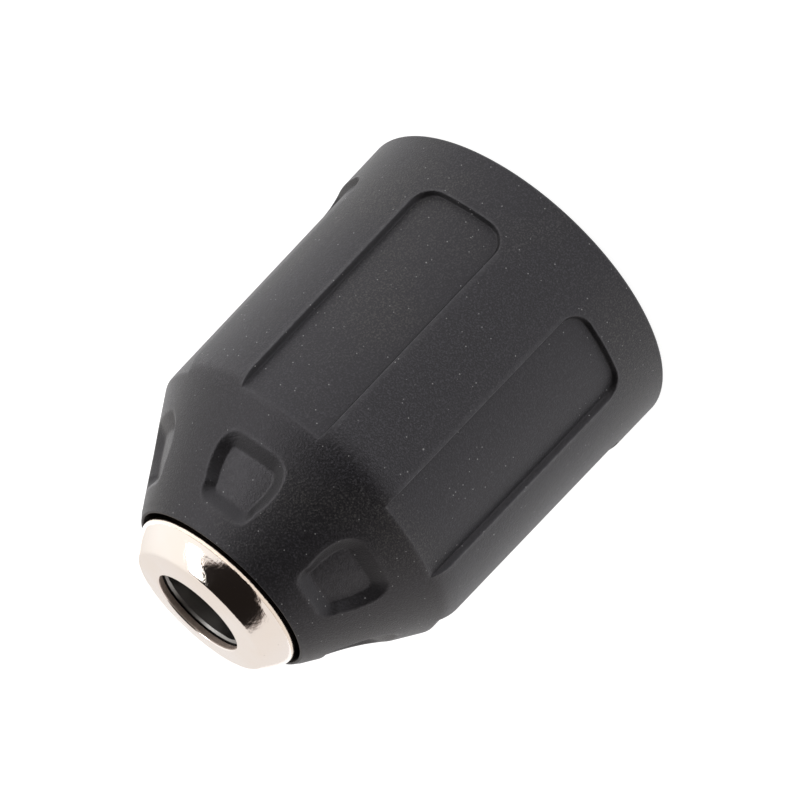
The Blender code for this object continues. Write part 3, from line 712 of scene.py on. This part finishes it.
def nose_mesh():
    """The nose ring, with its bore painted for the plating and its lip marked for a painted shade band."""
    profile = [
        (NOSE_SEAT_R, NOSE_REAR_Z),
        (NOSE_SKIRT_R, NOSE_REAR_Z),
        (NOSE_SKIRT_R, NOSE_LIP_REAR_Z - 0.02 * MM),
        (NOSE_LIP_R, NOSE_LIP_REAR_Z),
        *leaning_outline((NOSE_LIP_R, NOSE_LIP_Z), NOSE_ARCS),
        (NOSE_BORE_R, NOSE_SEAT_Z),
        (NOSE_SEAT_R, NOSE_SEAT_Z),
    ]
    mesh = mesh_of(lathe(eased(profile), 256), "nose_cap")
    spots = np.empty(len(mesh.vertices) * 3)
    mesh.vertices.foreach_get("co", spots)
    x, y, z = spots.reshape(-1, 3).T
    paint(mesh, "bore", (np.hypot(x, y) < NOSE_BORE_R + 0.08 * MM) & (z < NOSE_SEAT_Z + 0.76 * MM))
    # lip: points below 0.3 mm above the lip get the painted shade
    paint(mesh, "lip", z < NOSE_LIP_Z + 0.3 * MM)
    return mesh


def thread_profile(minor, major, low, high, pitch):
    """A bore's thread as a groove each pitch, from its low end to its high end."""
    points = []
    count = int((high - low) / pitch)
    for i in range(count):
        base = low + i * pitch
        points += [(minor, base + pitch * 0.12), (major, base + pitch * 0.5), (minor, base + pitch * 0.88)]
    return points


def body_profile():
    """The body's outline, from the hub face up the outside and back down the bores."""
    thread_end = SPINDLE_DEPTH - 0.4 * MM
    thread = thread_profile(SPINDLE_MINOR_R, SPINDLE_MAJOR_R, 1.2 * MM, thread_end, SPINDLE_PITCH)
    return [
        (SPINDLE_MINOR_R + 0.75 * MM, 0.0),
        (HUB_R - 0.3 * MM, 0.0),
        (HUB_R, 0.3 * MM),
        (HUB_R, 1.0 * MM),
        (CLIP_GROOVE_R, 1.0 * MM),
        (CLIP_GROOVE_R, 2.1 * MM),
        (HUB_R, 2.1 * MM),
        (HUB_R, 12.0 * MM),
        (FLANGE_R, 19.0 * MM),
        (FLANGE_R, 23.0 * MM),
        (RACE_SEAT_R, 23.0 * MM),
        (RACE_SEAT_R, 27.4 * MM),
        (11.2 * MM, 27.4 * MM),
        (NECK_R, 33.7 * MM),
        (FRONT_FLANGE_R, 33.7 * MM),
        (FRONT_FLANGE_R, 38.0 * MM),
        (NECK_R, 44.6 * MM),
        (BOSS_R, 44.6 * MM),
        (BOSS_R, BODY_FRONT_Z - 0.3 * MM),
        (BOSS_R - 0.3 * MM, BODY_FRONT_Z),
        (TOOL_BORE_R + BORE_CHAMFER, BODY_FRONT_Z),
        (TOOL_BORE_R, BODY_FRONT_Z - BORE_CHAMFER),
        (TOOL_BORE_R, TOOL_BORE_REAR_Z),
        (SCREW_HOLE_R, TOOL_BORE_REAR_Z - 1.5 * MM),
        (SCREW_HOLE_R, SPINDLE_DEPTH + 0.8 * MM),
        (SPINDLE_MINOR_R, SPINDLE_DEPTH),
        *reversed(thread),
        (SPINDLE_MINOR_R, 0.75 * MM),
    ]


def body_mesh():
    """The turned body with the three jaw passages cut through it."""
    whole = mesh_of(lathe(body_profile(), 144), "body_turned")
    passages = []
    for index in range(JAW_COUNT):
        bm = rod(JAW_R + JAW_CLEARANCE, -55 * MM, 9 * MM, 64)
        bm.transform(jaw_frame(jaw_azimuth(index), PASSAGE_Z))
        passages.append(mesh_of(bm, "passage"))
    return welded(carve(whole, passages))


def slice_off(bm, point, normal):
    """Cuts a solid with a plane, drops the side the normal points to and closes it."""
    geometry = bm.verts[:] + bm.edges[:] + bm.faces[:]
    cut = bmesh.ops.bisect_plane(
        bm, geom=geometry, plane_co=point, plane_no=normal, clear_outer=True, dist=1e-7
    )
    edges = [item for item in cut["geom_cut"] if isinstance(item, bmesh.types.BMEdge)]
    if edges:
        bmesh.ops.contextual_create(bm, geom=edges)


def jaw_blank():
    """A round jaw with its gripping wedge in front, before the teeth are cut."""
    bm = rod(JAW_R, -JAW_LENGTH, 2 * MM, 56)
    up = Vector((sin(JAW_ANGLE), 0.0, cos(JAW_ANGLE)))
    outward = Vector((cos(JAW_ANGLE), 0.0, -sin(JAW_ANGLE)))
    sideways = Vector((0.0, 1.0, 0.0))
    to_axis = jaw_line_radius(JAW_TIP_Z)
    grip = outward * (JAW_GRIP_OPEN_R - to_axis)
    wedge = outward * (JAW_GRIP_OPEN_R - 0.15 * MM - to_axis)
    slice_off(bm, Vector(), up)
    slice_off(bm, outward * 1.92 * MM, outward * 0.8 + up * 0.6)
    slice_off(bm, wedge, sideways * 0.5 - outward * sin(radians(60)))
    slice_off(bm, wedge, -sideways * 0.5 - outward * sin(radians(60)))
    slice_off(bm, grip, -outward)
    slice_off(bm, Vector((JAW_R - 0.9 * MM, 0.0, -JAW_LENGTH)), Vector((0.6, 0.0, -0.8)))
    return mesh_of(bm, "jaw_blank")


def tooth_comb(index):
    """One outline that dips into every tooth gap of a jaw, in the jaw's own frame."""
    first = TOOTH_PITCH * jaw_azimuth(index) / (2 * pi) - (JAW_TIP_Z - NUT_REAR_Z) / cos(JAW_ANGLE)
    land = JAW_R + 0.2 * MM
    root = JAW_R - TOOTH_DEPTH
    mouth = TOOTH_ROOT_HALF + 0.4 * MM / TOOTH_DEPTH * (land - root)
    lowest = ceil((-JAW_LENGTH + 0.2 * MM - first) / TOOTH_PITCH)
    highest = ceil((-JAW_LENGTH + 20.5 * MM - first) / TOOTH_PITCH)
    centers = [first + count * TOOTH_PITCH for count in range(lowest, highest)]
    back = JAW_R + 1.2 * MM
    outline = [(back, centers[0] - mouth)]
    for place in centers:
        outline += [(land, place - mouth), (root, place - TOOTH_ROOT_HALF)]
        outline += [(root, place + TOOTH_ROOT_HALF), (land, place + mouth)]
    outline.append((back, centers[-1] + mouth))
    bm = bmesh.new()
    face = bm.faces.new([bm.verts.new((x, -4 * MM, z)) for x, z in outline])
    moved = bmesh.ops.extrude_face_region(bm, geom=[face])
    verts = [item for item in moved["geom"] if isinstance(item, bmesh.types.BMVert)]
    bmesh.ops.translate(bm, verts=verts, vec=(0.0, 8 * MM, 0.0))
    return mesh_of(bm, "tooth_comb")


def jaw_mesh(index):
    """A jaw with its teeth, in its open place."""
    cut = carve(jaw_blank(), [tooth_comb(index)])
    cut.transform(jaw_frame(jaw_azimuth(index), JAW_TIP_Z))
    return cut


# ======== Scene ========


def camera_axes():
    """The model's axes and the rear rim's centre in camera space: right, down, forward."""
    nose = Vector((cos(NOSE_TILT) * cos(NOSE_ROLL), cos(NOSE_TILT) * sin(NOSE_ROLL), -sin(NOSE_TILT)))
    level = nose.cross(Vector((0.0, 0.0, 1.0))).normalized()
    other = nose.cross(level)
    x_axis = level * cos(RECESS_TURN) + other * sin(RECESS_TURN)
    y_axis = other * cos(RECESS_TURN) - level * sin(RECESS_TURN)
    right, down = ((place - IMAGE_SIZE / 2) / FOCAL_PIXELS for place in REAR_RIM_PIXEL)
    rim = Vector((right, down, 1.0))
    return Matrix((x_axis, y_axis, nose)).transposed(), rim * REAR_RIM_DISTANCE - nose * REAR_RIM_Z


def make_camera():
    """The photograph's camera, placed in the chuck's own frame."""
    axes, origin = camera_axes()
    data = bpy.data.cameras.new("camera")
    data.sensor_width = SENSOR_WIDTH
    data.lens = FOCAL_PIXELS * SENSOR_WIDTH / IMAGE_SIZE
    data.clip_start = 10 * MM
    data.clip_end = 20.0
    camera = bpy.data.objects.new("camera", data)
    bpy.context.scene.collection.objects.link(camera)
    right, down, forward = axes.row[0], axes.row[1], axes.row[2]
    turn = Matrix((right, -down, -forward)).transposed().to_4x4()
    camera.matrix_world = Matrix.Translation(-(axes.transposed() @ origin)) @ turn
    bpy.context.scene.camera = camera


def make_light(name, azimuth, elevation, distance, size, power):
    """A soft white panel that looks at the chuck from a direction in degrees."""
    data = bpy.data.lights.new(name, "AREA")
    data.shape = "RECTANGLE"
    data.size, data.size_y = size
    data.energy = power
    a, e = radians(azimuth), radians(elevation)
    away = Vector((cos(a) * cos(e), sin(a) * cos(e), sin(e)))
    made = bpy.data.objects.new(name, data)
    bpy.context.scene.collection.objects.link(made)
    turn = away.to_track_quat("Z", "Y").to_matrix().to_4x4()
    made.matrix_world = Matrix.Translation(Vector((0.0, 0.0, 30 * MM)) + away * distance) @ turn


def make_world():
    """Even studio white, brighter on one side, with the unlit part of the room above."""
    world = bpy.data.worlds.new("studio")
    bpy.context.scene.world = world
    world.use_nodes = True
    tree = world.node_tree
    sky = tree.nodes["Background"]
    place = tree.nodes.new("ShaderNodeTexCoord").outputs["Generated"]

    def patch(azimuth, elevation, low, high, start, end):
        """A factor that goes from start to end as the view nears a direction."""
        a, e = radians(azimuth), radians(elevation)
        toward = tree.nodes.new("ShaderNodeVectorMath")
        toward.operation = "DOT_PRODUCT"
        toward.inputs[1].default_value = (cos(a) * cos(e), sin(a) * cos(e), sin(e))
        tree.links.new(place, toward.inputs[0])
        ramp = tree.nodes.new("ShaderNodeMapRange")
        for name, number in zip(("From Min", "From Max", "To Min", "To Max"), (low, high, start, end)):
            ramp.inputs[name].default_value = number
        tree.links.new(toward.outputs["Value"], ramp.inputs["Value"])
        return ramp.outputs["Result"]

    strength = patch(*LIGHT_SIDE, 0.2, 0.9, SKY_LEVEL, SKY_LEVEL * LIGHT_LIFT)
    for azimuth, elevation, reach in DARK_SIDES:
        outer, inner = cos(radians(reach + DARK_EDGE)), cos(radians(reach - DARK_EDGE))
        least = tree.nodes.new("ShaderNodeMath")
        least.operation = "MINIMUM"
        dark = patch(azimuth, elevation, outer, inner, SKY_LEVEL * LIGHT_LIFT, DARK_LEVEL)
        tree.links.new(strength, least.inputs[0])
        tree.links.new(dark, least.inputs[1])
        strength = least.outputs[0]
    tree.links.new(strength, sky.inputs["Strength"])
    tint = tree.nodes.new("ShaderNodeMix")
    tint.data_type = "RGBA"
    tree.links.new(strength, tint.inputs["Factor"])
    first, second = [item for item in tint.inputs if item.type == "RGBA"]
    first.default_value = (*DARK_COLOR, 1.0)
    second.default_value = (*SKY_COLOR, 1.0)
    tree.links.new([item for item in tint.outputs if item.type == "RGBA"][0], sky.inputs["Color"])


def make_floor(material):
    """A wide floor just under the chuck's rear face."""
    bm = bmesh.new()
    bmesh.ops.create_grid(bm, x_segments=8, y_segments=8, size=3.0)
    bmesh.ops.translate(bm, verts=bm.verts, vec=(0.0, 0.0, -0.05 * MM))
    mesh = mesh_of(bm, "floor")
    mesh.materials.append(material)
    floor = bpy.data.objects.new("floor", mesh)
    bpy.context.scene.collection.objects.link(floor)


def main():
    """Builds the studio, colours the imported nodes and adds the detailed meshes."""
    scene = bpy.context.scene
    scene.view_settings.view_transform = "Standard"
    make_camera()
    make_world()
    make_light("left_panel", 98, 52, 0.5, (0.12, 0.34), 0.55)
    make_floor(floor_paint_and_painted_light())

    plastic = sleeve_plastic()
    nickel = nose_nickel()
    steel = metal("body_steel", (0.38, 0.37, 0.36), (0.10, 0.09, 0.08), 0.34)
    jaw_steel = metal("jaw_steel", (0.42, 0.42, 0.43), (0.12, 0.11, 0.10), 0.30, 0.25)
    finishes = {
        "bearing_steel": metal("bearing_steel", (0.62, 0.62, 0.63), (0.2, 0.18, 0.16), 0.16, 0.2, 0.2),
        "cage_brass": metal("cage_brass", (0.66, 0.50, 0.24), (0.22, 0.14, 0.06), 0.33, 0.3),
        "band_steel": metal("band_steel", (0.50, 0.50, 0.51), (0.16, 0.15, 0.14), 0.38, 0.4),
        "spring_steel": metal("spring_steel", (0.20, 0.21, 0.25), (0.07, 0.06, 0.06), 0.33, 0.3),
        "cover_plate": metal("cover_plate", (0.56, 0.55, 0.52), (0.2, 0.18, 0.15), 0.33, 0.4),
        "body_steel": steel,
        "jaw_steel": jaw_steel,
    }
    for part in frame["record"]["subparts"]:
        node = frame["nodes"][part["node"]]
        finish = finishes.get(part["material_slot"])
        if finish is not None:
            node.data.materials.clear()
            node.data.materials.append(finish)

    show("sleeve_shell", sleeve_mesh(), plastic, "sleeve", ["outer_sleeve"], radians(50))
    show("nose_cap", nose_mesh(), nickel, "body", ["nose_ring"], radians(40))
    show("body_core", body_mesh(), steel, "body", ["chuck_body"], radians(25))
    for index in range(JAW_COUNT):
        name = f"jaw_{index + 1}"
        show(f"{name}_ground", jaw_mesh(index), jaw_steel, name, [name], radians(25))


main()
